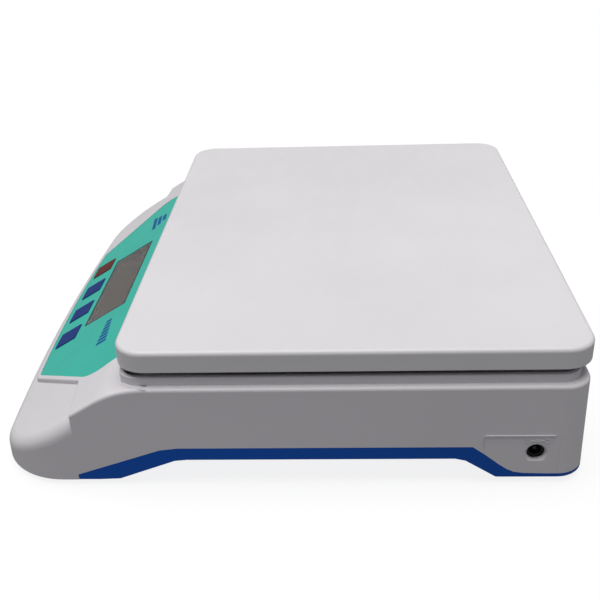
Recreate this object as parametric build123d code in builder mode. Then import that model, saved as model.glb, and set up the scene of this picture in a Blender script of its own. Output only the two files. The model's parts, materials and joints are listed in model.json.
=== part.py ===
from build123d import *
import os
from math import atan2, cos, degrees, hypot, radians, sin, tan

os.makedirs("parts", exist_ok=True)

# Counter scale with a sloping keypad at the front and a lift-off tray.
# Millimetres. +X is the operator's right, +Y the rear, Z = 0 is the surface under the feet.

# ------------------------------------------------------------------ driving dimensions
tray_width = 300.0
tray_depth = 225.0
tray_top = 73.5
tray_skirt = 11.0
tray_corner = 15.0
tray_wall = 2.6
tray_y = 37.1

wall = 2.6
draft = 1.15
body_half = 153.5
body_front = -149.6
body_rear = 149.6
foot_gap = 3.0
front_corner = 37.0
rear_corner = 14.0
front_bow = 1100.0

rim_top = 54.8
rim_round = 1.6
deck_top = 51.0
deck_wall = 2.5
lip_half = 148.4
lip_front = tray_y - 111.6
lip_rear = body_rear - 5.2
lip_top = 59.1
lip_wall = 2.5
lip_corner = 10.0

slope = 31.0
slope_y = tray_y - 175.3
slope_z = 17.0
shoulder_blend = 45.0
skirt_drop = 2.1
soft_radius = 7.5

arch_floor = 14.5
arch_seam = 21.3
pod_seam = 5.9
rear_seam = 5.6
seam_front = tray_y - 135.8
base_floor = 2.5

sheet = 0.5
sheet_margin = 2.6
key_width = 16.5
key_depth = 15.0
key_pitch = 31.0
key_row_x = -2.0
key_row_s = 8.6
lcd_width = 88.0
lcd_depth = 29.0
lcd_x = -1.5
lcd_s = 35.7

cell_length = 130.0
cell_width = 30.0
cell_height = 22.0
cell_bottom = 23.0
spider_bottom = 55.0
spider_plate = 5.0
pad_x = 105.0
pad_y = 75.0
pad_top = 66.5

foot_x = 122.0
foot_front_y = tray_y - 142.0
foot_rear_y = tray_y + 86.0

jack_y = tray_y + 87.2
jack_z = 17.6
jack_hole = 4.4
jack_board_top = jack_z - 5.8

battery_x = -88.0
battery_y = tray_y
battery_size = (97.0, 51.0, 24.0)
battery_bottom = 16.8

rise = tan(radians(slope))
panel = Plane(
    origin=(0, slope_y, slope_z),
    x_dir=(1, 0, 0),
    z_dir=(0, -sin(radians(slope)), cos(radians(slope))),
)


def save(piece, name):
    """Labels a finished piece and writes it to its own file."""
    piece.part.label = name
    export_step(piece.part, f"parts/{name}.step")


# ------------------------------------------------------------------ shared outlines
def plan_outline(inset):
    """The housing from above, at foot level: bowed front, wide front corners."""
    half = body_half - inset
    front = body_front + inset
    rear = body_rear - inset
    corner_y = front + half**2 / (2 * front_bow)
    with BuildSketch() as outline:
        with BuildLine():
            bow = ThreePointArc((-half, corner_y), (0, front), (half, corner_y))
            Polyline(bow @ 1, (half, rear), (-half, rear), bow @ 0)
        make_face()
        fillet(outline.vertices().group_by(Axis.Y)[-1], rear_corner - inset)
        fillet(outline.vertices().group_by(Axis.Y)[0], front_corner - inset)
    return outline.sketch


def overlay_outline(margin):
    """The keypad sheet from above, flaring from the front edge to its widest point."""
    front_half = 80.0
    wide_half = 121.5
    back_half = 112.0
    front_y = tray_y - 175.0
    bow_y = tray_y - 178.7
    wide_y = tray_y - 133.0
    back_y = tray_y - 109.5
    with BuildSketch() as outline:
        with BuildLine():
            bow = ThreePointArc((-front_half, front_y), (0, bow_y), (front_half, front_y))
            Polyline(
                bow @ 1,
                (wide_half, wide_y),
                (back_half, back_y),
                (-back_half, back_y),
                (-wide_half, wide_y),
                bow @ 0,
            )
        make_face()
        fillet(outline.vertices().group_by(Axis.Y)[0], 6.5)
        wide_corners = outline.vertices().filter_by_position(Axis.Y, wide_y - 0.1, wide_y + 0.1)
        fillet(wide_corners, 12.0)
        if margin:
            offset(amount=margin, kind=Kind.ARC)
    return outline.sketch


def plateau_outline(inset):
    """The raised part of the housing top from above: keypad field, then full width."""
    step_y = tray_y - 142.3 + inset
    step_end_y = tray_y - 134.3 + inset
    step_half = 100.0
    reach = body_half + 10
    back = body_rear + 20
    with BuildSketch() as outline:
        add(overlay_outline(sheet_margin - inset))
        with BuildLine():
            Polyline(
                (step_half, step_y),
                (reach, step_end_y),
                (reach, back),
                (-reach, back),
                (-reach, step_end_y),
                (-step_half, step_y),
                close=True,
            )
        make_face()
    return outline.sketch


def drafted_body(inset, low, high):
    """The plan outline pulled up from low to high with the housing's draft."""
    lean = (low - foot_gap) * tan(radians(draft))
    with BuildPart() as body:
        with BuildSketch(Plane.XY.offset(low)):
            add(plan_outline(inset + lean))
        extrude(amount=high - low, taper=draft)
    return body.part


def side_slab(points, blend=None):
    """A side view, given as (y, z) points, pulled across the full width."""
    with BuildPart() as slab:
        with BuildSketch(Plane.YZ) as profile:
            with BuildLine():
                Polyline(*points, close=True)
            make_face()
            if blend:
                place, radius = blend
                near = profile.vertices().sort_by_distance((0, place[0], place[1]))[0]
                fillet(near, radius)
        extrude(amount=body_half + 20, both=True)
    return slab.part


def top_slab(drop):
    """Everything below the housing top: level behind, sloping in front, lowered by drop."""
    level = rim_top - drop
    fall = drop / cos(radians(slope))
    ridge_y = slope_y + (level + fall - slope_z) / rise
    toe_y = body_front - 30
    toe_z = slope_z - fall + (toe_y - slope_y) * rise
    points = [(body_rear + 30, -60), (body_rear + 30, level), (ridge_y, level), (toe_y, toe_z), (toe_y, -60)]
    return side_slab(points, ((ridge_y, level), shoulder_blend - drop))


def skirt_slab(drop):
    """Everything below the lower, front surface of the housing."""
    fall = (skirt_drop + drop) / cos(radians(slope))
    toe_y = body_front - 30
    toe_z = slope_z - fall + (toe_y - slope_y) * rise
    back_y = -60.0
    back_z = slope_z - fall + (back_y - slope_y) * rise
    return side_slab([(back_y, -60), (back_y, back_z), (toe_y, toe_z), (toe_y, -60)])


def seam_points():
    """The line between the white housing and the blue base, front to rear."""
    return [
        (seam_front, pod_seam),
        (tray_y - 94.0, 20.2),
        (tray_y - 85.0, arch_seam),
        (tray_y + 57.0, arch_seam),
        (tray_y + 63.0, 16.9),
        (tray_y + 70.0, 11.1),
        (tray_y + 74.0, 8.2),
        (tray_y + 77.5, 6.6),
        (tray_y + 82.0, 5.9),
        (tray_y + 92.0, rear_seam),
        (body_rear + 5, rear_seam),
    ]


def floor_points(lift):
    """The underside of the base, front to rear, raised by lift."""
    low = foot_gap + lift
    high = arch_floor + lift
    return [
        (tray_y - 125.0, low),
        (tray_y - 115.0, low + 0.4),
        (tray_y - 87.0, high - 0.6),
        (tray_y - 81.0, high),
        (tray_y + 49.0, high),
        (tray_y + 54.0, high - 1.2),
        (tray_y + 69.0, low + 0.6),
        (tray_y + 73.0, low),
    ]


# ------------------------------------------------------------------ upper housing
def skirt_body(inset):
    """The lower front surface of the housing, with its soft outer edge."""
    with BuildPart() as body:
        add(drafted_body(inset, foot_gap - 0.2, rim_top))
        add(skirt_slab(inset), mode=Mode.INTERSECT)
        slope_face = body.faces().filter_by(panel).sort_by(Axis.Z)[-1]
        fillet(slope_face.edges().sort_by(Axis.Y)[:-1], soft_radius - inset)
    return body.part


def deck_body(inset):
    """The raised housing top with its sloping keypad field."""
    with BuildPart() as body:
        add(drafted_body(inset, pod_seam - 1, rim_top))
        add(top_slab(inset), mode=Mode.INTERSECT)
        tops = body.faces().filter_by(lambda face: face.normal_at().Z > 0.5)
        outer = body.edges().filter_by(lambda edge: sum(edge in top.edges() for top in tops) == 1)
        if inset < rim_round:
            fillet(outer, rim_round - inset)
        with BuildSketch(Plane.XY.offset(-5)):
            add(plateau_outline(inset))
        extrude(amount=rim_top + 20, mode=Mode.INTERSECT)
    return body.part


def lip_block(inset, low, high):
    """The outline of the lip under the tray, pulled up between two heights."""
    with BuildPart() as block:
        with BuildSketch(Plane.XY.offset(low)):
            with Locations((0, (lip_front + lip_rear) / 2)):
                RectangleRounded(
                    2 * (lip_half - inset), lip_rear - lip_front - 2 * inset, lip_corner - inset
                )
        extrude(amount=high - low)
    return block.part


def panel_box(width, depth, across, up_slope, low, high):
    """A block lying along the keypad slope, between two depths from its surface."""
    with BuildPart(panel) as block:
        with Locations((across, up_slope, (low + high) / 2)):
            Box(width, depth, high - low)
    return block.part


def posts(places, radius, low, high):
    """Round posts between two heights."""
    with BuildPart() as group:
        with BuildSketch(Plane.XY.offset(low)):
            with Locations(*places):
                Circle(radius)
        extrude(amount=high - low)
    return group.part


key_places = [key_row_x + key_pitch * step for step in (-1.5, -0.5, 0.5, 1.5)]
screw_front = [(105.0, tray_y - 153.0), (-105.0, tray_y - 153.0)]
screw_middle = [(142.0, tray_y + 40.0), (-142.0, tray_y + 40.0)]
screw_rear = [(95.0, tray_y + 98.0), (-95.0, tray_y + 98.0)]
board_screws = [(across, up) for across in (-63.0, 63.0) for up in (12.0, 52.0)]
board_top = -10.1
board_thick = 1.6

pocket_floor = 0.2 + sheet
with BuildPart() as keypad_pocket:
    with BuildSketch(Plane.XY.offset(-5)):
        add(overlay_outline(0.15))
    extrude(amount=rim_top + 20)
    add(top_slab(pocket_floor), mode=Mode.SUBTRACT)

inlet_front = tray_y + 62.4
inlet_rear = tray_y + 98.0
inlet_top = 27.4


def inlet_block(margin):
    """The power inlet plate's own part of the right wall, grown by margin."""
    with BuildPart() as block:
        with BuildSketch(Plane.YZ.offset(body_half - 12)):
            with Locations(((inlet_front + inlet_rear) / 2, inlet_top - 20)):
                RectangleRounded(inlet_rear - inlet_front + 2 * margin, 40 + 2 * margin, 1.5 + margin)
        extrude(amount=20)
    return block.part


with BuildPart() as inlet_line:
    with Locations((body_half - 0.5, tray_y + 79.0, inlet_top + 0.4)):
        Box(1.0, 33.0, 0.5)
    with Locations((body_half - 0.5, inlet_front - 0.4, inlet_top - 2.2)):
        Box(1.0, 0.4, 5.2)

with BuildPart(panel.offset(-2.0)) as board_posts:
    with Locations(*board_screws):
        Cylinder(3.2, -board_top - 2.0, align=(Align.CENTER, Align.CENTER, Align.MAX))
        Cylinder(
            1.2,
            -board_top - 2.0,
            align=(Align.CENTER, Align.CENTER, Align.MAX),
            mode=Mode.SUBTRACT,
        )

with BuildPart() as below_seam:
    add(side_slab([(body_rear + 30, -60), (seam_front, -60)] + seam_points() + [(body_rear + 30, rear_seam)]))

with BuildPart() as tray_lip:
    add(lip_block(0, deck_top - deck_wall, lip_top))
    add(lip_block(lip_wall, deck_top, lip_top + 1), mode=Mode.SUBTRACT)
    fillet(tray_lip.faces().sort_by(Axis.Z)[-1].edges(), 0.6)

with BuildPart() as upper_housing:
    add(deck_body(0))
    step_edges = upper_housing.faces().filter_by(panel).sort_by(Axis.Z)[-1].edges()
    fillet(step_edges.filter_by_position(Axis.Y, -200, tray_y - 133), 1.0)
    add(skirt_body(0))
    # hollow inside, open underneath
    add(skirt_body(wall), mode=Mode.SUBTRACT)
    add(deck_body(wall), mode=Mode.SUBTRACT)
    add(drafted_body(wall, foot_gap - 4, foot_gap + 3), mode=Mode.SUBTRACT)
    # everything under the seam belongs to the base
    add(below_seam.part, mode=Mode.SUBTRACT)
    # raised lip under the tray, round the well for the tray carrier
    add(lip_block(lip_wall, deck_top, lip_top), mode=Mode.SUBTRACT)
    add(tray_lip.part)
    # opening over the free end of the load cell
    with Locations((0, tray_y + 50.0, deck_top)):
        Box(50, 48, 12, mode=Mode.SUBTRACT)
    # pocket for the keypad sheet, window and keys
    add(keypad_pocket.part, mode=Mode.SUBTRACT)
    add(panel_box(lcd_width + 0.6, lcd_depth + 0.6, lcd_x, lcd_s, -6, 3), mode=Mode.SUBTRACT)
    for across in key_places:
        add(
            panel_box(key_width + 0.6, key_depth + 0.6, across, key_row_s, -1.6, 3),
            mode=Mode.SUBTRACT,
        )
        add(panel_box(7.0, 7.0, across, key_row_s, -6, 3), mode=Mode.SUBTRACT)
    # screw posts for the two shells and for the display board
    add(posts(screw_front, 4.2, 10.2, 22.5))
    add(posts(screw_middle, 4.2, 22.2, 50.0))
    add(posts(screw_rear, 4.2, 10.2, 50.0))
    add(board_posts.part)
    add(posts(screw_front, 1.25, 10.2, 21.0), mode=Mode.SUBTRACT)
    add(posts(screw_middle, 1.25, 22.2, 34.0), mode=Mode.SUBTRACT)
    add(posts(screw_rear, 1.25, 10.2, 22.0), mode=Mode.SUBTRACT)
    # opening for the power inlet plate, with a raised line along two of its sides
    add(inlet_block(0.05), mode=Mode.SUBTRACT)
    add(inlet_line.part)
save(upper_housing, "upper_housing")

with BuildPart() as inlet_plate:
    add(drafted_body(0, foot_gap - 0.2, rim_top))
    add(drafted_body(wall, foot_gap - 1, rim_top + 1), mode=Mode.SUBTRACT)
    add(inlet_block(0), mode=Mode.INTERSECT)
    add(below_seam.part, mode=Mode.SUBTRACT)
    with Locations((body_half, jack_y, jack_z)):
        Cylinder(jack_hole, 30, rotation=(0, 90, 0), mode=Mode.SUBTRACT)
    # countersink round the hole
    with Locations((body_half - 0.8, jack_y, jack_z)):
        Cone(jack_hole, jack_hole + 1.2, 1.2, rotation=(0, 90, 0), mode=Mode.SUBTRACT)
save(inlet_plate, "inlet_plate")


# ------------------------------------------------------------------ lower base
base_split = seam_front + 0.2
front_gap = wall + 0.3
column_low = 4.0
cell_seat = 20.0
cell_fixed_y = tray_y - cell_length / 2 + 15.0
cell_free_y = tray_y + cell_length / 2 - 15.0
battery_inner = (battery_size[0] + 2.0, battery_size[1] + 2.0)
door_size = (battery_inner[0] + 6.0, battery_inner[1] + 6.0)
door_thick = 1.8
hinge_y = battery_y + door_size[1] / 2 - door_thick / 2
hinge_z = arch_floor + 1.1
strap_screw_places = [(battery_x, battery_y + side * (battery_inner[1] / 2 + 5.5)) for side in (-1, 1)]
compartment_top = arch_floor + 19.5
board_x = 88.0
board_y = tray_y - 15.0
board_size = (90.0, 66.0)
board_z = 24.0
board_corners = [
    (board_x + side * (board_size[0] / 2 - 5), board_y + end * (board_size[1] / 2 - 5))
    for side in (-1, 1)
    for end in (-1, 1)
]
jack_front = body_half - wall - 0.9
jack_rests = [(jack_front - away, jack_y + side * 8) for away in (3, 14) for side in (-1, 1)]
foot_places = [
    (foot_x, foot_front_y),
    (-foot_x, foot_front_y),
    (foot_x, foot_rear_y),
    (-foot_x, foot_rear_y),
]
foot_names = ["front_right", "front_left", "rear_right", "rear_left"]


def front_tray(inset):
    """The part of the base that reaches forward inside the housing's skirt."""
    with BuildPart() as tray:
        add(skirt_body(inset))
        with Locations((0, base_split - 59, foot_gap - 1)):
            Box(400, 120, 6.5, align=(Align.CENTER, Align.CENTER, Align.MIN), mode=Mode.INTERSECT)
    return tray.part


def base_body(inset, lift):
    """The base tray's outer shape, or its hollow when inset and lifted."""
    floor = floor_points(lift)
    outline = [(body_front - 5, floor[0][1])] + floor
    outline += [(body_rear + 5, floor[-1][1]), (body_rear + 5, 60), (body_front - 5, 60)]
    with BuildPart() as body:
        add(drafted_body(inset, foot_gap - 0.2, 40.0))
        with Locations((0, base_split - 60, 20)):
            Box(400, 120, 80, mode=Mode.SUBTRACT)
        add(front_tray(inset + front_gap))
        add(side_slab(outline), mode=Mode.INTERSECT)
    return body.part


with BuildPart() as lower_base:
    add(base_body(0, 0))
    above = [(seam_front, 80)] + seam_points() + [(body_rear + 5, 80)]
    add(side_slab(above), mode=Mode.SUBTRACT)
    hem = lower_base.edges().filter_by_position(Axis.Z, foot_gap - 0.3, foot_gap + 0.1)
    rear_hem = hem.filter_by_position(Axis.Y, tray_y + 85, 200)
    fillet(rear_hem, 1.2)
    add(base_body(wall, base_floor), mode=Mode.SUBTRACT)
    # thick seat under the fixed end of the load cell
    with BuildSketch(Plane.XY.offset(arch_floor)):
        with Locations((0, cell_fixed_y)):
            RectangleRounded(56, 44, 4)
    extrude(amount=cell_seat - arch_floor)
    # columns for the housing screws
    add(posts(screw_front, 4.4, column_low, 10.0))
    add(posts(screw_middle, 4.4, arch_floor, 22.0))
    add(posts(screw_rear, 4.4, column_low, 10.0))
    # standoffs for the main board
    add(posts(board_corners, 3.2, arch_floor + 1, board_z))
    # rests under the power inlet's board
    add(posts(jack_rests, 2.2, column_low, jack_board_top - board_thick))
    # nut bosses over the feet
    add(posts(foot_places, 9.0, column_low, 15.0))
    # battery compartment walls and door frame
    with BuildSketch(Plane.XY.offset(arch_floor)):
        with Locations((battery_x, battery_y)):
            RectangleRounded(door_size[0] + 5, door_size[1] + 5, 3)
    extrude(amount=4.5)
    with BuildSketch(Plane.XY.offset(arch_floor)):
        with Locations((battery_x, battery_y)):
            Rectangle(battery_inner[0] + 4, battery_inner[1] + 4)
            Rectangle(*battery_inner, mode=Mode.SUBTRACT)
    extrude(amount=compartment_top - arch_floor)
    # ears for the screws of the battery strap
    add(posts(strap_screw_places, 3.4, arch_floor, compartment_top))
    with Locations((battery_x, battery_y, arch_floor)):
        Box(*battery_inner, 12, mode=Mode.SUBTRACT)
    with Locations((battery_x, battery_y, arch_floor)):
        Box(door_size[0] + 0.8, door_size[1] + 0.8, 4.6, mode=Mode.SUBTRACT)
    # hinge holes for the battery door
    with Locations((battery_x, hinge_y, hinge_z)):
        Cylinder(0.86, door_size[0] + 4.4, rotation=(0, 90, 0), mode=Mode.SUBTRACT)
    add(posts(strap_screw_places, 1.25, compartment_top - 9, compartment_top + 1), mode=Mode.SUBTRACT)
    # screw holes and head pockets from below
    add(posts(screw_front + screw_rear, 1.8, 0, 12), mode=Mode.SUBTRACT)
    add(posts(screw_front + screw_rear, 3.4, 0, 7.0), mode=Mode.SUBTRACT)
    add(posts(screw_middle, 1.8, 10, 24), mode=Mode.SUBTRACT)
    add(posts(screw_middle, 3.4, 10, 19.0), mode=Mode.SUBTRACT)
    cell_bolts = [(0, cell_fixed_y - 7.5), (0, cell_fixed_y + 7.5)]
    add(posts(cell_bolts, 3.3, 10, 24), mode=Mode.SUBTRACT)
    add(posts(cell_bolts, 5.6, 10, 17.9), mode=Mode.SUBTRACT)
    add(posts(board_corners, 1.2, 18.5, 30), mode=Mode.SUBTRACT)
    add(posts(foot_places, 3.4, 0, 16), mode=Mode.SUBTRACT)
    add(posts(foot_places, 12.6, 0, foot_gap + 1.6), mode=Mode.SUBTRACT)
    with BuildSketch(Plane.XY.offset(9.6)):
        with Locations(*foot_places):
            RegularPolygon(5.9, 6)
    extrude(amount=6, mode=Mode.SUBTRACT)
save(lower_base, "lower_base")


# ------------------------------------------------------------------ tray
tray_top_wall = 2.8
boss_places = [(side * pad_x, tray_y + end * pad_y) for side in (-1, 1) for end in (-1, 1)]

with BuildPart() as platter:
    with BuildSketch(Plane.XY.offset(tray_top - tray_skirt)):
        with Locations((0, tray_y)):
            RectangleRounded(tray_width, tray_depth, tray_corner)
    extrude(amount=tray_skirt)
    fillet(platter.faces().sort_by(Axis.Z)[-1].edges(), 2.2)
    with BuildSketch(Plane.XY.offset(tray_top - tray_skirt)):
        with Locations((0, tray_y)):
            RectangleRounded(
                tray_width - 2 * tray_wall,
                tray_depth - 2 * tray_wall,
                tray_corner - tray_wall,
            )
    extrude(amount=tray_skirt - tray_top_wall, mode=Mode.SUBTRACT)
    fillet(platter.faces().sort_by(Axis.Z)[0].outer_wire().edges(), 0.5)
    # ribs under the top
    rib_low = tray_top - tray_top_wall - 3.2
    with BuildSketch(Plane.XY.offset(rib_low)):
        with Locations((0, tray_y)):
            with GridLocations(36, 1, 7, 1):
                Rectangle(1.6, tray_depth - 2 * tray_wall)
            with GridLocations(1, 36, 1, 5):
                Rectangle(tray_width - 2 * tray_wall, 1.6)
    extrude(amount=tray_top - tray_top_wall - rib_low)
    # sockets that sit over the rubber pads
    add(posts(boss_places, 14.0, 64.0, tray_top - tray_top_wall))
    add(posts(boss_places, 11.0, 60.0, pad_top), mode=Mode.SUBTRACT)
save(platter, "platter")


# ------------------------------------------------------------------ keypad and display
with BuildPart() as panel_overlay:
    with BuildSketch(Plane.XY.offset(-5)):
        add(overlay_outline(0))
    extrude(amount=rim_top + 20)
    add(top_slab(0.2), mode=Mode.INTERSECT)
    add(top_slab(pocket_floor), mode=Mode.SUBTRACT)
    add(panel_box(lcd_width, lcd_depth, lcd_x, lcd_s, -6, 3), mode=Mode.SUBTRACT)
    for across in key_places:
        add(
            panel_box(key_width + 0.6, key_depth + 0.6, across, key_row_s, -6, 3),
            mode=Mode.SUBTRACT,
        )
save(panel_overlay, "panel_overlay")

with BuildPart(panel) as display_window:
    with Locations((lcd_x, lcd_s, -0.95)):
        Box(lcd_width - 0.2, lcd_depth - 0.2, 1.3)
save(display_window, "display_window")

lcd_glass_top = -3.3
lcd_glass_low = -6.0
with BuildPart(panel) as lcd_panel:
    with Locations((lcd_x, lcd_s, (lcd_glass_top + lcd_glass_low) / 2)):
        Box(lcd_width + 3, lcd_depth + 4, lcd_glass_top - lcd_glass_low)
save(lcd_panel, "lcd_panel")

with BuildPart(panel) as lcd_holder:
    with Locations((lcd_x, lcd_s, (lcd_glass_top + board_top) / 2)):
        Box(lcd_width + 8, lcd_depth + 9, lcd_glass_top - board_top)
        Box(lcd_width + 3.3, lcd_depth + 4.3, 20, mode=Mode.SUBTRACT)
    with Locations((lcd_x, lcd_s, lcd_glass_top + 0.3)):
        Box(lcd_width + 8, lcd_depth + 9, 0.6)
        Box(lcd_width - 1.2, lcd_depth - 1.2, 2, mode=Mode.SUBTRACT)
save(lcd_holder, "lcd_holder")

with BuildPart(panel) as backlight_panel:
    with Locations((lcd_x, lcd_s, (lcd_glass_low + board_top) / 2)):
        Box(lcd_width + 3, lcd_depth + 4, lcd_glass_low - board_top)
save(backlight_panel, "backlight_panel")

with BuildPart(panel) as display_board:
    with Locations((0, 32.0, board_top - board_thick / 2)):
        Box(136, 58, board_thick)
    with Locations(*board_screws):
        Cylinder(1.6, 40, mode=Mode.SUBTRACT)
save(display_board, "display_board")

switch_body_top = board_top + 3.6
with BuildPart(panel) as key_switches:
    for across in key_places:
        with Locations((across, key_row_s, board_top + 1.8)):
            Box(6.0, 6.0, 3.6)
        with Locations((across, key_row_s, switch_body_top)):
            Cylinder(1.8, 3.2, mode=Mode.SUBTRACT)
save(key_switches, "key_switches")

key_names = ["red_key", "blue_key_left", "blue_key_middle", "blue_key_right"]
key_top = 0.35
for key_name, across in zip(key_names, key_places):
    with BuildPart(panel) as key:
        with BuildSketch(panel.offset(-0.85)):
            with Locations((across, key_row_s)):
                RectangleRounded(key_width, key_depth, 0.8)
        extrude(amount=key_top + 0.85)
        fillet(key.faces().filter_by(panel).sort_by(Axis.Z)[-1].edges(), 0.3)
        with BuildSketch(panel.offset(-0.85)):
            with Locations((across, key_row_s)):
                RectangleRounded(5.4, 5.4, 0.8)
        extrude(amount=-(-0.85 - (switch_body_top + 0.95)))
    save(key, key_name)
    with BuildPart(panel) as plunger:
        with Locations((across, key_row_s, switch_body_top - 1.0)):
            Cylinder(1.6, 1.95, align=(Align.CENTER, Align.CENTER, Align.MIN))
    save(plunger, f"{key_name}_plunger")

with BuildPart(panel.offset(board_top - board_thick)) as display_board_screws:
    with Locations(*board_screws):
        Cylinder(2.6, 1.7, align=(Align.CENTER, Align.CENTER, Align.MAX))
        Cylinder(1.2, 7.0, align=(Align.CENTER, Align.CENTER, Align.MIN))
        with Locations((0, 0, -1.7)):
            Cylinder(1.1, 1.0, align=(Align.CENTER, Align.CENTER, Align.MIN), mode=Mode.SUBTRACT)
save(display_board_screws, "display_board_screws")


# ------------------------------------------------------------------ weighing mechanism
cell_top = cell_bottom + cell_height
cell_end_bolts = [(0, cell_free_y - 7.5), (0, cell_free_y + 7.5)]

with BuildPart() as load_cell:
    with Locations((0, tray_y, cell_bottom + cell_height / 2)):
        Box(cell_width, cell_length, cell_height)
    chamfer(load_cell.edges().filter_by(Axis.Y), 0.6)
    # the double bore that lets the beam bend like a parallelogram
    for step in (-13.0, 13.0):
        with Locations((0, tray_y + step, cell_bottom + cell_height / 2)):
            Cylinder(8.4, cell_width + 2, rotation=(0, 90, 0), mode=Mode.SUBTRACT)
    with Locations((0, tray_y, cell_bottom + cell_height / 2)):
        Box(cell_width + 2, 26, 6, mode=Mode.SUBTRACT)
    add(posts(cell_bolts, 3.0, cell_bottom - 1, cell_bottom + 15), mode=Mode.SUBTRACT)
    add(posts(cell_end_bolts, 3.2, cell_top - 15, cell_top + 1), mode=Mode.SUBTRACT)
save(load_cell, "load_cell")

with BuildPart() as gauge_covers:
    for height in (cell_bottom - 0.6, cell_top + 0.6):
        with Locations((0, tray_y, height)):
            Box(19, 44, 1.2)
    fillet(gauge_covers.edges().filter_by(Axis.Z), 2.5)
save(gauge_covers, "gauge_covers")

with BuildPart() as lower_spacer:
    with Locations((0, cell_fixed_y, (cell_seat + cell_bottom) / 2)):
        Box(40, 32, cell_bottom - cell_seat)
    fillet(lower_spacer.edges().filter_by(Axis.Z), 2)
    add(posts(cell_bolts, 3.3, 18, 25), mode=Mode.SUBTRACT)
save(lower_spacer, "lower_spacer")

with BuildPart() as upper_spacer:
    with Locations((0, cell_free_y, (cell_top + spider_bottom) / 2)):
        Box(cell_width, 30, spider_bottom - cell_top)
    fillet(upper_spacer.edges().filter_by(Axis.Z), 2)
    add(posts(cell_end_bolts, 3.3, 40, 60), mode=Mode.SUBTRACT)
save(upper_spacer, "upper_spacer")

with BuildPart() as lower_cell_screws:
    add(posts(cell_bolts, 5.0, 14.7, 17.9))
    add(posts(cell_bolts, 3.0, 17.9, cell_bottom + 13))
    with BuildSketch(Plane.XY.offset(14.7)):
        with Locations(*cell_bolts):
            RegularPolygon(2.3, 6)
    extrude(amount=2.0, mode=Mode.SUBTRACT)
save(lower_cell_screws, "lower_cell_screws")

spider_top = spider_bottom + spider_plate
arm_length = hypot(pad_x, pad_y)
arm_angle = degrees(atan2(pad_y, pad_x))
stop_share = 0.8
stop_places = [(x * stop_share, tray_y + (y - tray_y) * stop_share) for x, y in boss_places]

with BuildPart() as spider:
    with BuildSketch(Plane.XY.offset(spider_bottom)):
        with Locations((0, tray_y + 27)):
            RectangleRounded(52, 84, 8)
        with Locations((0, tray_y)):
            for turn in (arm_angle, 180 - arm_angle):
                SlotCenterToCenter(2 * arm_length, 20, rotation=turn)
        with Locations(*boss_places):
            Circle(12.5)
    extrude(amount=spider_plate)
    # raised ribs along the arms
    with BuildSketch(Plane.XY.offset(spider_top)):
        with Locations((0, tray_y)):
            for turn in (arm_angle, 180 - arm_angle):
                SlotCenterToCenter(2 * arm_length * 0.66, 4, rotation=turn)
    extrude(amount=4)
    add(posts(cell_end_bolts, 5.8, spider_top, spider_top + 10), mode=Mode.SUBTRACT)
    add(posts(cell_end_bolts, 3.3, 50, 70), mode=Mode.SUBTRACT)
    add(posts(stop_places, 2.5, 50, 70), mode=Mode.SUBTRACT)
    add(posts(boss_places, 4.1, 50, 70), mode=Mode.SUBTRACT)
save(spider, "spider")

with BuildPart() as upper_cell_screws:
    add(posts(cell_end_bolts, 5.0, spider_top, spider_top + 6))
    add(posts(cell_end_bolts, 3.0, cell_top - 12, spider_top))
    with BuildSketch(Plane.XY.offset(spider_top + 3)):
        with Locations(*cell_end_bolts):
            RegularPolygon(2.8, 6)
    extrude(amount=4, mode=Mode.SUBTRACT)
save(upper_cell_screws, "upper_cell_screws")

with BuildPart() as stop_screws:
    add(posts(stop_places, 2.5, deck_top + 0.8, spider_top + 6))
    with BuildSketch(Plane.XY.offset(spider_top + 6)):
        with Locations(*stop_places):
            Rectangle(3.4, 0.8)
    extrude(amount=-1.0, mode=Mode.SUBTRACT)
save(stop_screws, "stop_screws")

with BuildPart() as stop_nuts:
    with BuildSketch(Plane.XY.offset(spider_top)):
        with Locations(*stop_places):
            RegularPolygon(4.6, 6)
            Circle(2.5, mode=Mode.SUBTRACT)
    extrude(amount=3.8)
save(stop_nuts, "stop_nuts")

with BuildPart() as tray_pads:
    add(posts(boss_places, 10.0, spider_top, pad_top))
    fillet(tray_pads.faces().sort_by(Axis.Z)[-4:].edges(), 1.0)
    add(posts(boss_places, 4.0, spider_bottom + 0.2, spider_top))
save(tray_pads, "tray_pads")


# ------------------------------------------------------------------ electronics and power
with BuildPart() as main_board:
    with Locations((board_x, board_y, board_z + board_thick / 2)):
        Box(*board_size, board_thick)
    add(posts(board_corners, 1.7, 20, 30), mode=Mode.SUBTRACT)
save(main_board, "main_board")

chip_bottom = board_z + board_thick
with BuildPart() as board_parts:
    with Locations((board_x - 8, board_y + 4, chip_bottom + 0.9)):
        Box(14, 14, 1.8)
    with Locations((board_x + 16, board_y + 14, chip_bottom + 0.8)):
        Box(10, 6, 1.6)
    with Locations((board_x - 38, board_y, chip_bottom + 3.5)):
        Box(6, 22, 7)
    with Locations((board_x - 20, board_y - 28, chip_bottom + 3.5)):
        Box(26, 6, 7)
    with Locations((board_x + 13.5, board_y - 28, chip_bottom + 3.5)):
        Box(9, 6, 7)
    with Locations((board_x + 38, board_y + 6, chip_bottom + 3.5)):
        Box(6, 16, 7)
    with Locations((board_x + 6, board_y + 20, chip_bottom + 1.7)):
        Box(10, 4, 3.4)
save(board_parts, "board_parts")

with BuildPart() as capacitors:
    cap_places = [(board_x + 22, board_y - 15), (board_x + 9, board_y - 15), (board_x + 26, board_y)]
    add(posts(cap_places, 4.0, chip_bottom, chip_bottom + 11))
    fillet(capacitors.faces().sort_by(Axis.Z)[-3:].edges(), 0.6)
save(capacitors, "capacitors")

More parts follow.
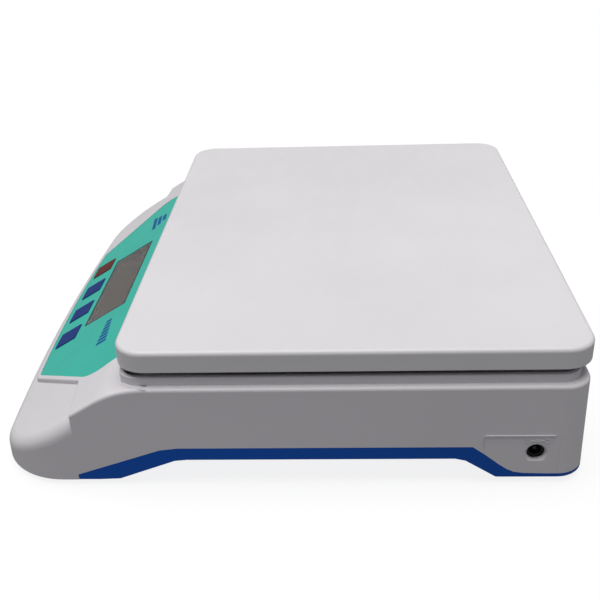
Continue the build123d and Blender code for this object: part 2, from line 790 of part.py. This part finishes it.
with BuildPart() as buzzer:
    with Locations((board_x - 26, board_y + 22, chip_bottom)):
        Cylinder(6.0, 8.5, align=(Align.CENTER, Align.CENTER, Align.MIN))
    fillet(buzzer.faces().sort_by(Axis.Z)[-1].edges(), 0.6)
    with Locations((board_x - 26, board_y + 22, chip_bottom + 8.5)):
        Cylinder(1.3, 2, mode=Mode.SUBTRACT)
save(buzzer, "buzzer")

with BuildPart() as main_board_screws:
    add(posts(board_corners, 2.8, chip_bottom, chip_bottom + 2.0))
    add(posts(board_corners, 1.2, chip_bottom - 6.5, chip_bottom))
    with BuildSketch(Plane.XY.offset(chip_bottom + 2.0)):
        with Locations(*board_corners):
            Rectangle(3.4, 0.7)
            Rectangle(0.7, 3.4)
    extrude(amount=-0.9, mode=Mode.SUBTRACT)
save(main_board_screws, "main_board_screws")

with BuildPart() as battery:
    with Locations((battery_x, battery_y, battery_bottom + battery_size[2] / 2)):
        Box(*battery_size)
    fillet(battery.edges(), 1.2)
save(battery, "battery")

with BuildPart() as battery_terminals:
    for step in (-36.0, -24.0):
        with Locations((battery_x + battery_size[0] / 2 + 0.4, battery_y + step + 30, 36.0)):
            Box(0.8, 4.8, 6.4)
save(battery_terminals, "battery_terminals")

with BuildPart() as battery_door:
    with Locations((battery_x, battery_y, hinge_z)):
        Box(*door_size, door_thick)
    # rear edge rounded about the hinge line, so that it turns inside its frame
    fillet(battery_door.edges().filter_by(Axis.X).group_by(Axis.Y)[-1], door_thick / 2 - 0.02)
    with Locations((battery_x, hinge_y, hinge_z)):
        Cylinder(0.8, door_size[0] + 3.6, rotation=(0, 90, 0))
    # finger recess at the front edge
    with Locations((battery_x, battery_y - door_size[1] / 2 + 6, hinge_z - door_thick / 2 + 0.1)):
        Box(22, 7, 1.4, mode=Mode.SUBTRACT)
save(battery_door, "battery_door")

strap_top = battery_bottom + battery_size[2] + 1.4
strap_foot = compartment_top
with BuildPart() as battery_strap:
    with BuildSketch(Plane.YZ.offset(battery_x)):
        with BuildLine():
            reach = battery_inner[1] / 2 + 1.0
            Polyline(
                (battery_y - reach - 8, strap_foot + 0.6),
                (battery_y - reach, strap_foot + 0.6),
                (battery_y - reach, strap_top - 0.6),
                (battery_y + reach, strap_top - 0.6),
                (battery_y + reach, strap_foot + 0.6),
                (battery_y + reach + 8, strap_foot + 0.6),
            )
            offset(amount=0.6, side=Side.BOTH)
        make_face()
    extrude(amount=7, both=True)
    add(posts(strap_screw_places, 1.6, strap_foot - 5, strap_foot + 5), mode=Mode.SUBTRACT)
save(battery_strap, "battery_strap")

with BuildPart() as strap_screws:
    add(posts(strap_screw_places, 2.7, strap_foot + 1.2, strap_foot + 3.2))
    add(posts(strap_screw_places, 1.25, strap_foot - 7, strap_foot + 1.2))
    with BuildSketch(Plane.XY.offset(strap_foot + 3.2)):
        with Locations(*strap_screw_places):
            Rectangle(3.2, 0.7)
            Rectangle(0.7, 3.2)
    extrude(amount=-0.9, mode=Mode.SUBTRACT)
save(strap_screws, "strap_screws")

with BuildPart() as dc_jack:
    with Locations((jack_front - 7.0, jack_y, jack_z - 0.3)):
        Box(14.0, 9.4, 11.0)
    fillet(dc_jack.edges().filter_by(Axis.X), 0.8)
    with Locations((jack_front - 4.5, jack_y, jack_z)):
        Cylinder(3.1, 10.0, rotation=(0, 90, 0), mode=Mode.SUBTRACT)
    with Locations((jack_front - 5.5, jack_y, jack_z)):
        Cylinder(1.0, 9.0, rotation=(0, 90, 0))
save(dc_jack, "dc_jack")

with BuildPart() as jack_board:
    with Locations((jack_front - 9.0, jack_y, jack_board_top - board_thick / 2)):
        Box(18, 22, board_thick)
save(jack_board, "jack_board")


# ------------------------------------------------------------------ fasteners and feet
with BuildPart() as housing_screws:
    add(posts(screw_front + screw_rear, 3.0, 4.6, 7.0))
    add(posts(screw_front + screw_rear, 1.25, 7.0, 17.0))
    add(posts(screw_middle, 3.0, 16.6, 19.0))
    add(posts(screw_middle, 1.25, 19.0, 29.0))
save(housing_screws, "housing_screws")

for foot_name, place in zip(foot_names, foot_places):
    with BuildPart() as foot_pad:
        add(posts([place], 12.0, 0, 4.2))
        fillet(foot_pad.faces().sort_by(Axis.Z)[0].edges(), 1.0)
        add(posts([place], 3.0, 1.5, 5), mode=Mode.SUBTRACT)
    save(foot_pad, f"foot_pad_{foot_name}")
    with BuildPart() as foot_stud:
        add(posts([place], 3.0, 1.5, 20.0))
        chamfer(foot_stud.faces().sort_by(Axis.Z)[-1].edges(), 0.8)
    save(foot_stud, f"foot_stud_{foot_name}")

with BuildPart() as foot_nuts:
    with BuildSketch(Plane.XY.offset(9.8)):
        with Locations(*foot_places):
            RegularPolygon(5.7, 6)
            Circle(3.05, mode=Mode.SUBTRACT)
    extrude(amount=5.0)
save(foot_nuts, "foot_nuts")


# ------------------------------------------------------------------ internal wiring
def wire(points, radius, bend):
    """A round wire along straight runs with rounded corners."""
    with BuildPart() as run:
        with BuildLine() as route:
            FilletPolyline(*points, radius=bend)
        with BuildSketch(Plane(origin=route.line @ 0, z_dir=route.line % 0)):
            Circle(radius)
        sweep()
    return run.part


with BuildPart() as load_cell_cable:
    cable_z = cell_bottom + 13.0
    add(
        wire(
            [
                (cell_width / 2, cell_fixed_y, cable_z),
                (cell_width / 2 + 12, cell_fixed_y, cable_z),
                (cell_width / 2 + 16, board_y, cable_z - 3),
                (board_x - 41.8, board_y, chip_bottom + 4),
            ],
            1.6,
            5.0,
        )
    )
save(load_cell_cable, "load_cell_cable")

lead_start_x = battery_x + battery_size[0] / 2 + 0.8
with BuildPart() as battery_leads:
    for step, drop in ((-36.0, 0.0), (-24.0, 3.0)):
        add(
            wire(
                [
                    (lead_start_x, battery_y + step + 30, 36.0),
                    (lead_start_x + 9 + drop, battery_y + step + 30, 36.0),
                    (lead_start_x + 9 + drop, cell_fixed_y - 24 + drop, 25.0),
                    (board_x + 15 - drop, cell_fixed_y - 24 + drop, 25.0),
                    (board_x + 15 - drop, board_y - 31.5, chip_bottom + 4),
                ],
                0.9,
                4.0,
            )
        )
save(battery_leads, "battery_leads")

with BuildPart() as jack_leads:
    for step in (-1.1, 1.1):
        add(
            wire(
                [
                    (jack_front - 15.5 + step, jack_y - 6.5, jack_board_top),
                    (jack_front - 15.5 + step, jack_y - 6.5, jack_board_top + 9),
                    (jack_front - 15.5 + step, jack_y - 32, jack_board_top + 14),
                    (board_x + 38 + step, board_y + 34, chip_bottom + 14),
                    (board_x + 38 + step, board_y + 10, chip_bottom + 14),
                    (board_x + 38 + step, board_y + 10, chip_bottom + 7.2),
                ],
                0.9,
                3.0,
            )
        )
save(jack_leads, "jack_leads")

ribbon_x = board_x - 22.0
with BuildPart() as display_ribbon:
    with BuildSketch(Plane.YZ.offset(ribbon_x)):
        with BuildLine():
            FilletPolyline(
                (tray_y - 137.0, 24.2),
                (tray_y - 128.0, 19.6),
                (tray_y - 96.0, 19.6),
                (tray_y - 62.0, chip_bottom + 13.0),
                (board_y - 28.0, chip_bottom + 13.0),
                (board_y - 28.0, chip_bottom + 7.5),
                radius=4.0,
            )
            offset(amount=0.35, side=Side.BOTH)
        make_face()
    extrude(amount=8, both=True)
save(display_ribbon, "display_ribbon")
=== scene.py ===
import json
from math import cos, pi, radians, sin

import bmesh
import bpy
from mathutils import Matrix, Vector


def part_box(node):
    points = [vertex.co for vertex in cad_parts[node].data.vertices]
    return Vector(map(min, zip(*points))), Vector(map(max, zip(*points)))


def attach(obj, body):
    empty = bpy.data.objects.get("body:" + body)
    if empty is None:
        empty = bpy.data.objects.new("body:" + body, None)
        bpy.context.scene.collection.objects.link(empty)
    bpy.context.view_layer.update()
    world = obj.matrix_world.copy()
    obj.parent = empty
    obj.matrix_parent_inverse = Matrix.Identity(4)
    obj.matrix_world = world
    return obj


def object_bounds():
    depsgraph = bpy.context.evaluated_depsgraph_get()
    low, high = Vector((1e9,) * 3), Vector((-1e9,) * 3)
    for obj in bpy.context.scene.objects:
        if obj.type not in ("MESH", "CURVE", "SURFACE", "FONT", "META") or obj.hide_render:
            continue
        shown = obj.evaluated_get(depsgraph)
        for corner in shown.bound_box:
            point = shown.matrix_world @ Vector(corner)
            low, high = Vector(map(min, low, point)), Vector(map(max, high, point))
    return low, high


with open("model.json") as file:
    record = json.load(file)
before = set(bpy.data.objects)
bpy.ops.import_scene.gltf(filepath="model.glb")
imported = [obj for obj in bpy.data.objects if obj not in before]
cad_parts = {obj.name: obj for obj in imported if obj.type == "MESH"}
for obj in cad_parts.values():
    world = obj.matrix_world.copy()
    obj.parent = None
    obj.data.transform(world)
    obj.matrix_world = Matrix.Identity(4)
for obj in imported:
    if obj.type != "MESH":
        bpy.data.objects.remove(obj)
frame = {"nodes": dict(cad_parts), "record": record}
cad_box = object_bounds()
NODES = frame["nodes"]
MM = 0.001


# ---------------------------------------------------------------- node helpers
class Graph:
    """Shorthand for building one material's nodes."""

    def __init__(self, name):
        self.material = bpy.data.materials.new(name)
        self.material.use_nodes = True
        self.tree = self.material.node_tree
        self.nodes = self.tree.nodes
        self.shader = self.nodes["Principled BSDF"]
        self.place = self.add("ShaderNodeTexCoord").outputs["Object"]

    def add(self, kind, **fields):
        node = self.nodes.new(kind)
        for key, value in fields.items():
            setattr(node, key, value)
        return node

    def link(self, source, target):
        self.tree.links.new(source, target)

    def noise(self, scale, detail=3.0, rough=0.5, stretch=None):
        """Noise in metres of the row frame, its grains about 1/scale metres across."""
        place = self.place
        if stretch:
            mapping = self.add("ShaderNodeMapping")
            mapping.inputs["Scale"].default_value = stretch
            self.link(place, mapping.inputs["Vector"])
            place = mapping.outputs["Vector"]
        node = self.add("ShaderNodeTexNoise")
        node.inputs["Scale"].default_value = scale
        node.inputs["Detail"].default_value = detail
        node.inputs["Roughness"].default_value = rough
        self.link(place, node.inputs["Vector"])
        return node.outputs["Fac"]

    def remap(self, value, low, high, start=0.3, end=0.7):
        """value runs from start to end; the result runs from low to high."""
        node = self.add("ShaderNodeMapRange")
        node.inputs["From Min"].default_value = start
        node.inputs["From Max"].default_value = end
        node.inputs["To Min"].default_value = low
        node.inputs["To Max"].default_value = high
        self.link(value, node.inputs["Value"])
        return node.outputs["Result"]

    def mix(self, share, first, second):
        """Blends two colours; each is an RGB triple or another node's output."""
        node = self.add("ShaderNodeMix", data_type="RGBA")
        self.link(share, node.inputs["Factor"])
        for slot_number, colour in ((6, first), (7, second)):
            if isinstance(colour, (tuple, list)):
                node.inputs[slot_number].default_value = (*colour, 1.0)
            else:
                self.link(colour, node.inputs[slot_number])
        return node.outputs[2]

    def bump(self, height, strength, distance, under=None):
        node = self.add("ShaderNodeBump")
        node.inputs["Strength"].default_value = strength
        node.inputs["Distance"].default_value = distance
        self.link(height, node.inputs["Height"])
        if under is not None:
            self.link(under, node.inputs["Normal"])
        return node.outputs["Normal"]


def shade(colour, factor):
    return tuple(channel * factor for channel in colour)


MOULD_GRAIN_DEPTH = 0.00003
METAL_SPREAD = 0.12
RUBBER_GRAIN = 500.0
EMBOSS_GRAIN = 1500.0
INK_DUST = 0.05


def moulded(name, colour, rough=0.4, grain=900.0, spread=0.03, coat=0.0, gloss=0.42):
    """Injection-moulded plastic: fine sparks of texture, slow flow shading, faint scuffs."""
    g = Graph(name)
    slow = g.noise(9.0, 2.0)
    cloud = g.mix(g.remap(slow, 0, 1), shade(colour, 1 - spread), shade(colour, 1 + spread))
    dust = g.noise(160.0, 6.0, 0.7)
    dusty = g.mix(g.remap(dust, 0, 0.10, 0.55, 0.8), cloud, shade(colour, 0.72))
    g.link(dusty, g.shader.inputs["Base Color"])
    scuff = g.noise(45.0, 8.0, 0.75, (1.0, 2.4, 1.0))
    g.link(g.remap(scuff, rough - 0.06, rough + 0.08), g.shader.inputs["Roughness"])
    fine = g.noise(grain, 2.0)
    ripple = g.noise(grain / 7, 2.0)
    under = g.bump(ripple, 0.06, MOULD_GRAIN_DEPTH * 3)
    g.link(g.bump(fine, 0.35, MOULD_GRAIN_DEPTH, under), g.shader.inputs["Normal"])
    g.shader.inputs["Specular IOR Level"].default_value = gloss
    g.shader.inputs["Coat Weight"].default_value = coat
    g.shader.inputs["Coat Roughness"].default_value = 0.18
    return g.material


def metal(name, colour, rough, stretch, grain=350.0):
    """Machined or plated metal: directional lines, patches of slightly different tone."""
    g = Graph(name)
    g.shader.inputs["Metallic"].default_value = 1.0
    patch = g.noise(60.0, 4.0)
    dark, light = shade(colour, 1 - METAL_SPREAD), shade(colour, 1 + METAL_SPREAD / 2)
    tone = g.mix(g.remap(patch, 0, 1), dark, light)
    g.link(tone, g.shader.inputs["Base Color"])
    lines = g.noise(grain, 3.0, 0.6, stretch)
    g.link(g.remap(lines, rough - 0.08, rough + 0.1), g.shader.inputs["Roughness"])
    g.link(g.bump(lines, 0.3, 0.00004), g.shader.inputs["Normal"])
    return g.material


def rubber(name, colour):
    """Soft rubber: a dull, slightly patchy surface with a fine pebble."""
    g = Graph(name)
    patch = g.noise(40.0, 5.0, 0.65)
    tone = g.mix(g.remap(patch, 0, 1), shade(colour, 0.8), shade(colour, 1.5))
    g.link(tone, g.shader.inputs["Base Color"])
    g.link(g.remap(patch, 0.72, 0.88), g.shader.inputs["Roughness"])
    g.link(g.bump(g.noise(RUBBER_GRAIN, 3.0), 0.5, 0.00006), g.shader.inputs["Normal"])
    return g.material


def printed(name, colour, rough=0.38, gloss=0.45, coat=0.15):
    """Back-printed polyester sheet: a soft matt emboss over even ink."""
    g = Graph(name)
    ink = g.noise(30.0, 3.0)
    tone = g.mix(g.remap(ink, 0, 1), shade(colour, 0.96), shade(colour, 1.04))
    speck = g.noise(420.0, 4.0, 0.7)
    g.link(g.mix(g.remap(speck, 0, INK_DUST, 0.55, 0.75), tone, shade(colour, 1.5)),
           g.shader.inputs["Base Color"])
    g.link(g.remap(g.noise(70.0, 6.0, 0.7), rough - 0.05, rough + 0.08),
           g.shader.inputs["Roughness"])
    g.link(g.bump(g.noise(EMBOSS_GRAIN, 1.0), 0.25, 0.00002), g.shader.inputs["Normal"])
    g.shader.inputs["Specular IOR Level"].default_value = gloss
    g.shader.inputs["Coat Weight"].default_value = coat
    g.shader.inputs["Coat Roughness"].default_value = 0.3
    return g.material


def circuit(name, mask, copper):
    """Solder resist with traces showing through it as slightly raised, lighter lines."""
    g = Graph(name)
    grid = g.add("ShaderNodeTexBrick")
    grid.inputs["Scale"].default_value = 260.0
    grid.inputs["Mortar Size"].default_value = 0.09
    grid.inputs["Color1"].default_value = (0, 0, 0, 1)
    grid.inputs["Color2"].default_value = (0, 0, 0, 1)
    grid.inputs["Mortar"].default_value = (1, 1, 1, 1)
    g.link(g.place, grid.inputs["Vector"])
    gate = g.remap(g.noise(55.0, 2.0), 0, 1, 0.47, 0.53)
    lines = g.add("ShaderNodeMath", operation="MULTIPLY")
    g.link(grid.outputs["Color"], lines.inputs[0])
    g.link(gate, lines.inputs[1])
    base = g.mix(g.remap(g.noise(25.0), 0, 1), shade(mask, 0.85), shade(mask, 1.15))
    g.link(g.mix(lines.outputs[0], base, copper), g.shader.inputs["Base Color"])
    g.link(g.remap(g.noise(80.0), 0.25, 0.4), g.shader.inputs["Roughness"])
    g.link(g.bump(lines.outputs[0], 0.4, 0.00004), g.shader.inputs["Normal"])
    g.shader.inputs["Coat Weight"].default_value = 0.4
    return g.material


# ---------------------------------------------------------------- materials
SHELL = (0.71, 0.685, 0.715)
TRAY = (0.735, 0.715, 0.74)
BASE_BLUE = (0.0, 0.083, 0.46)
TEAL = (0.034, 0.51, 0.405)
INK_BLUE = (0.008, 0.105, 0.31)
KEY_BLUE = (0.012, 0.036, 0.190)
KEY_RED = (0.125, 0.026, 0.022)

mat = {
    "shell_white": moulded("shell_white", SHELL, 0.38),
    "tray_white": moulded("tray_white", TRAY, 0.42, 1100.0),
    "base_blue": moulded("base_blue", BASE_BLUE, 0.42, 1000.0, spread=0.10, gloss=0.22),
    "sheet_teal": printed("sheet_teal", TEAL),
    "key_blue": printed("key_blue", KEY_BLUE, 0.42, gloss=0.12, coat=0.0),
    "key_red": printed("key_red", KEY_RED, 0.42, gloss=0.12, coat=0.0),
    "print_blue": printed("print_blue", INK_BLUE, 0.42, gloss=0.12, coat=0.0),
    "black_plastic": moulded("black_plastic", (0.018, 0.018, 0.02), 0.45),
    "diffuser": moulded("diffuser", (0.62, 0.64, 0.58), 0.5),
    "circuit_board": circuit("circuit_board", (0.008, 0.085, 0.03), (0.04, 0.26, 0.09)),
    "aluminium_beam": metal("aluminium_beam", (0.78, 0.79, 0.80), 0.32, (1, 0.05, 1)),
    "aluminium_cast": metal("aluminium_cast", (0.60, 0.61, 0.62), 0.5, (1, 1, 1), 700.0),
    "steel_zinc": metal("steel_zinc", (0.66, 0.68, 0.70), 0.28, (1, 1, 0.1), 500.0),
    "terminal_brass": metal("terminal_brass", (0.80, 0.58, 0.24), 0.3, (1, 1, 0.1)),
    "rubber_black": rubber("rubber_black", (0.022, 0.022, 0.022)),
    "silicone_white": rubber("silicone_white", (0.50, 0.50, 0.48)),
    "battery_case": moulded("battery_case", (0.035, 0.04, 0.045), 0.42),
    "capacitor_sleeve": moulded("capacitor_sleeve", (0.012, 0.02, 0.06), 0.28, coat=0.4),
    "wire_grey": moulded("wire_grey", (0.20, 0.205, 0.21), 0.45),
    "wire_red": moulded("wire_red", (0.36, 0.014, 0.012), 0.42),
}


def window_material():
    """Clear acrylic with a hint of hard-coat haze and fine wiping marks."""
    g = Graph("window_clear")
    g.shader.inputs["Base Color"].default_value = (0.90, 0.885, 0.86, 1)
    g.shader.inputs["Transmission Weight"].default_value = 1.0
    g.shader.inputs["IOR"].default_value = 1.49
    wipe = g.noise(60.0, 8.0, 0.7, (0.4, 2.0, 2.0))
    g.link(g.remap(wipe, 0.16, 0.26), g.shader.inputs["Roughness"])
    g.shader.inputs["Specular IOR Level"].default_value = 0.22
    return g.material


def lcd_material():
    """The unlit display: olive grey glass over a brushed reflector."""
    g = Graph("lcd_grey")
    olive = (0.125, 0.070, 0.036)
    brushed = g.noise(900.0, 3.0, 0.6, (0.3, 1.0, 1.0))
    slow = g.noise(14.0, 2.0)
    tone = g.mix(g.remap(slow, 0, 1), shade(olive, 0.95), shade(olive, 1.05))
    g.link(g.mix(g.remap(brushed, 0, 0.2), tone, shade(olive, 1.2)),
           g.shader.inputs["Base Color"])
    g.link(g.remap(brushed, 0.4, 0.5), g.shader.inputs["Roughness"])
    g.link(g.bump(brushed, 0.08, 0.00001), g.shader.inputs["Normal"])
    g.shader.inputs["Specular IOR Level"].default_value = 0.25
    return g.material


mat["window_clear"] = window_material()
mat["lcd_grey"] = lcd_material()

for part in frame["record"]["subparts"]:
    node = NODES[part["node"]]
    node.data.materials.clear()
    node.data.materials.append(mat[part["material_slot"]])


# ---------------------------------------------------------------- mesh helpers
def piece(name, mesh, material):
    """A new visible piece that rides on the housing."""
    obj = bpy.data.objects.new(name, mesh)
    bpy.context.scene.collection.objects.link(obj)
    mesh.materials.clear()
    mesh.materials.append(mat[material])
    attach(obj, "housing")


SHARP_ANGLE = 0.6


def from_bmesh(bm, name):
    """Turns the working mesh into a finished one, smooth but for its edges."""
    bmesh.ops.recalc_face_normals(bm, faces=bm.faces)
    mesh = bpy.data.meshes.new(name)
    bm.to_mesh(mesh)
    bm.free()
    for face in mesh.polygons:
        face.use_smooth = True
    mesh.set_sharp_from_angle(angle=SHARP_ANGLE)
    return mesh


def prism(bm, outline, low, high, place):
    """A flat shape, its outline in millimetres, pulled up between two heights of a local plane."""
    verts = [bm.verts.new((x * MM, y * MM, low)) for x, y in outline]
    face = bm.faces.new(verts)
    grown = bmesh.ops.extrude_face_region(bm, geom=[face])
    top = [v for v in grown["geom"] if isinstance(v, bmesh.types.BMVert)]
    for v in top:
        v.co.z = high
    bmesh.ops.transform(bm, matrix=place, verts=verts + top)


def rectangle(width, depth, across=0.0, up=0.0, corner=0.0, steps=4, turn=0.0):
    """The outline of a rectangle with rounded corners."""
    points = []
    half_w, half_d = width / 2 - corner, depth / 2 - corner
    for quarter, (sx, sy) in enumerate(((1, 1), (-1, 1), (-1, -1), (1, -1))):
        for step in range(steps + 1 if corner else 1):
            angle = pi / 2 * (quarter + (step / steps if corner else 0))
            points.append((sx * half_w + corner * cos(angle), sy * half_d + corner * sin(angle)))
    c, s = cos(turn), sin(turn)
    return [(across + x * c - y * s, up + x * s + y * c) for x, y in points]


def disc(radius, steps):
    return [(radius * cos(2 * pi * k / steps), radius * sin(2 * pi * k / steps))
            for k in range(steps)]


def arc_band(inner, outer, start, end, across, steps):
    """A ring or part of one, as an outline."""
    angles = [start + (end - start) * k / steps for k in range(steps + 1)]
    out = [(across + outer * cos(a), outer * sin(a)) for a in angles]
    back = [(across + inner * cos(a), inner * sin(a)) for a in reversed(angles)]
    return out + back


# ---------------------------------------------------------------- the keypad's own plane
SLOPE = radians(31.0)
UP_SLOPE = Vector((0, cos(SLOPE), sin(SLOPE)))
OUT = Vector((0, -sin(SLOPE), cos(SLOPE)))
lcd_centre = (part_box("lcd_panel")[0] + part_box("lcd_panel")[1]) / 2
LCD_UP_SLOPE = 0.0357
LCD_DEPTH = -0.00465
origin = lcd_centre - UP_SLOPE * LCD_UP_SLOPE - OUT * LCD_DEPTH
origin.x = 0.0
PANEL = Matrix((
    (1, 0, 0, origin.x),
    (0, UP_SLOPE.y, OUT.y, origin.y),
    (0, UP_SLOPE.z, OUT.z, origin.z),
    (0, 0, 0, 1),
))
SHEET_TOP = -0.0002
SHEET_MARK_ABOVE = 0.00003
SHEET_MARK_BELOW = 0.00002


def mark_on_sheet(name, outlines, material):
    """Marks on the keypad sheet, as very thin raised shapes."""
    bm = bmesh.new()
    for outline in outlines:
        prism(bm, outline, SHEET_TOP - SHEET_MARK_BELOW, SHEET_TOP + SHEET_MARK_ABOVE, PANEL)
    piece(name, from_bmesh(bm, name), material)


# Sizes of the printed marks and of the marks on the wall are in millimetres
EMBLEM_LENGTHS = (24.0, 18.0, 12.0)
EMBLEM_BAR = 3.0
EMBLEM_LEFT = -95.0
EMBLEM_UP = 44.5
EMBLEM_PITCH = 4.2
EMBLEM_SHIFT = 2.2
EMBLEM_TURN = 0.12
MARK_CORNER = 0.6

# Three slanted bars of falling length at the left
emblem = []
for step, length in enumerate(EMBLEM_LENGTHS):
    across = EMBLEM_LEFT + length / 2 + EMBLEM_SHIFT * step
    up = EMBLEM_UP + EMBLEM_PITCH * step
    emblem.append(rectangle(length, EMBLEM_BAR, across, up, MARK_CORNER, turn=EMBLEM_TURN))
mark_on_sheet("sheet_emblem", emblem, "print_blue")

GAUGE_COUNT = 7
GAUGE_WIDTH = 3.2
GAUGE_PITCH = 4.2
GAUGE_LEFT = 57.5
GAUGE_FOOT = 41.5
GAUGE_SHORTEST = 4.0
GAUGE_RISE = 0.5

# A row of rising blocks at the right
gauge = []
for step in range(GAUGE_COUNT):
    tall = GAUGE_SHORTEST + GAUGE_RISE * step
    across = GAUGE_LEFT + GAUGE_PITCH * step
    gauge.append(rectangle(GAUGE_WIDTH, tall, across, GAUGE_FOOT + tall / 2, MARK_CORNER, 2))
mark_on_sheet("sheet_gauge_marks", gauge, "print_blue")

BORDER_LINE = 0.9
BORDER_X = -1.5
BORDER_UP = 35.7
BORDER_HALF_WIDTH = 44.5
BORDER_HALF_DEPTH = 14.9
BORDER_LONG = 88.1
BORDER_SHORT = 30.2

# A thin dark line round the display window, laid on the sheet
border = []
for side in (-1, 1):
    border.append(rectangle(BORDER_LINE, BORDER_SHORT, BORDER_X + side * BORDER_HALF_WIDTH,
                            BORDER_UP))
    border.append(rectangle(BORDER_LONG, BORDER_LINE, BORDER_X,
                            BORDER_UP + side * BORDER_HALF_DEPTH))
mark_on_sheet("window_border", border, "black_plastic")

# Raised marks above the power inlet: two open rings, each joined by a bar to a dot between them
DRAFT = radians(1.15)
WALL_X = 0.1535
WALL_X_HEIGHT = 0.003
MARK_Y = 0.1243
MARK_Z = 0.0250
MARK_SUNK = 0.0001
MARK_RELIEF = 0.00038
WALL = Matrix((
    (0, -sin(DRAFT), cos(DRAFT), WALL_X - (MARK_Z - WALL_X_HEIGHT) * sin(DRAFT) / cos(DRAFT)),
    (1, 0, 0, MARK_Y),
    (0, cos(DRAFT), sin(DRAFT), MARK_Z),
    (0, 0, 0, 1),
))
DOT_RADIUS = 0.85
RING_INNER = 0.8
RING_OUTER = 1.25
RING_OFFSET = 4.6
RING_OPENING = 0.5
BAR_LENGTH = 2.2
BAR_THICK = 0.5
BAR_OFFSET = 2.1

marks = [disc(DOT_RADIUS, 20)]
for side in (-1, 1):
    middle = pi if side > 0 else 0
    start, end = middle + RING_OPENING, middle + 2 * pi - RING_OPENING
    marks.append(arc_band(RING_INNER, RING_OUTER, start, end, side * RING_OFFSET, 22))
    marks.append(rectangle(BAR_LENGTH, BAR_THICK, side * BAR_OFFSET, 0))
marks_bm = bmesh.new()
for outline in marks:
    prism(marks_bm, outline, -MARK_SUNK, MARK_RELIEF, WALL)
piece("inlet_marks", from_bmesh(marks_bm, "inlet_marks"), "shell_white")

# ---------------------------------------------------------------- camera
CAMERA_PLACE = Vector((0.4885, 0.0315, 0.2802))
LENS = 52.14
YAW, PITCH, ROLL = radians(2.95), radians(27.96), radians(-2.11)
forward = Vector((-cos(YAW) * cos(PITCH), -sin(YAW) * cos(PITCH), -sin(PITCH)))
level = forward.cross(Vector((0, 0, 1))).normalized()
upright = level.cross(forward)
right = level * cos(ROLL) + upright * sin(ROLL)
upward = upright * cos(ROLL) - level * sin(ROLL)
camera_data = bpy.data.cameras.new("camera")
camera_data.lens = LENS
camera_data.sensor_width = 36.0
camera_data.clip_start = 0.01
camera_data.clip_end = 80.0
camera = bpy.data.objects.new("camera", camera_data)
camera.matrix_world = Matrix((
    (right.x, upward.x, -forward.x, CAMERA_PLACE.x),
    (right.y, upward.y, -forward.y, CAMERA_PLACE.y),
    (right.z, upward.z, -forward.z, CAMERA_PLACE.z),
    (0, 0, 0, 1),
))
bpy.context.scene.collection.objects.link(camera)
bpy.context.scene.camera = camera


# ---------------------------------------------------------------- light and floor
sun_data = bpy.data.lights.new("softbox", "SUN")
sun_data.energy = 2.56
sun_data.angle = radians(48)
sun_data.color = (1.0, 0.995, 0.99)
sun = bpy.data.objects.new("softbox", sun_data)
sun.rotation_mode = "QUATERNION"
sun.rotation_quaternion = Vector((0.02, 0.07, -1)).to_track_quat("-Z", "Y")
bpy.context.scene.collection.objects.link(sun)

world = bpy.data.worlds.new("studio")
world.use_nodes = True
background = world.node_tree.nodes["Background"]
background.inputs["Color"].default_value = (0.97, 0.98, 1.0, 1)
background.inputs["Strength"].default_value = 0.24
bpy.context.scene.world = world

FLOOR_HALF = 30.0
FLOOR_GAP = 0.0002
floor_bm = bmesh.new()
bmesh.ops.create_grid(floor_bm, x_segments=2, y_segments=2, size=FLOOR_HALF)
floor_mesh = bpy.data.meshes.new("floor")
floor_bm.to_mesh(floor_mesh)
floor_bm.free()
floor = bpy.data.objects.new("floor", floor_mesh)
floor.location.z = cad_box[0].z - FLOOR_GAP
bpy.context.scene.collection.objects.link(floor)
floor_graph = Graph("floor_pale")
floor_graph.shader.inputs["Base Color"].default_value = (0.14, 0.14, 0.14, 1)
floor_graph.shader.inputs["Emission Color"].default_value = (1.0, 1.0, 1.0, 1)
floor_graph.shader.inputs["Emission Strength"].default_value = 0.86
floor_graph.shader.inputs["Roughness"].default_value = 0.9
floor_graph.shader.inputs["Specular IOR Level"].default_value = 0.1
floor_mesh.materials.append(floor_graph.material)
# A lit sweep: it stays nearly white under the object and sends no light back up its sides
floor.visible_diffuse = False
floor.visible_glossy = False

view = bpy.context.scene.view_settings
view.view_transform = "Standard"
view.look = "None"
